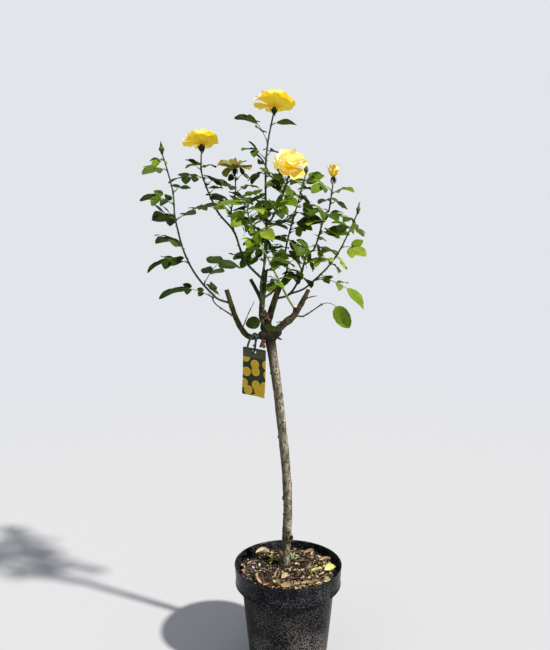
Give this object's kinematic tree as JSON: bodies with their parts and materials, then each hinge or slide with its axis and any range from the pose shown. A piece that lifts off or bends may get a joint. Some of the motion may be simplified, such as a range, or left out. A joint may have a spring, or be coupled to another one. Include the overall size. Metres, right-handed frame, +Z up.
{
  "type": "potted standard rose",
  "caption": "Standard rose: a slim grafted stem under an open crown of flowering canes, in a round nursery pot.",
  "frame": {"origin": "centre of the pot's flat underside", "axes": "+Z up along the plant, +X to the right and +Y to the back as seen from the front"},
  "size_m": [0.46, 0.3304, 1.2086],
  "materials": {
    "pot_plastic": "dusty satin",
    "peat": "matte crumb",
    "stem_bark": "rough bark",
    "old_wood": "weathered bark",
    "foliage": "glossy leaves",
    "strap_plastic": "satin",
    "label_card": "printed gloss"
  },
  "bodies": {
    "root": {"pot": "pot_plastic", "soil": "peat", "trunk": "stem_bark", "bough_left": "old_wood", "bough_centre": "old_wood", "bough_middle": "old_wood", "bough_right": "old_wood", "cane_left": "foliage", "cane_low_left": "foliage", "cane_second": "foliage", "cane_back_left": "foliage", "cane_top": "foliage", "cane_front": "foliage", "cane_young": "foliage", "cane_back_right": "foliage", "cane_back": "foliage", "cane_right": "foliage", "cane_far_right": "foliage", "cane_low_right": "foliage", "cane_short": "foliage", "shoot_head": "foliage", "label_strap": "strap_plastic", "label_card": "label_card"}
  },
  "joints": []
}
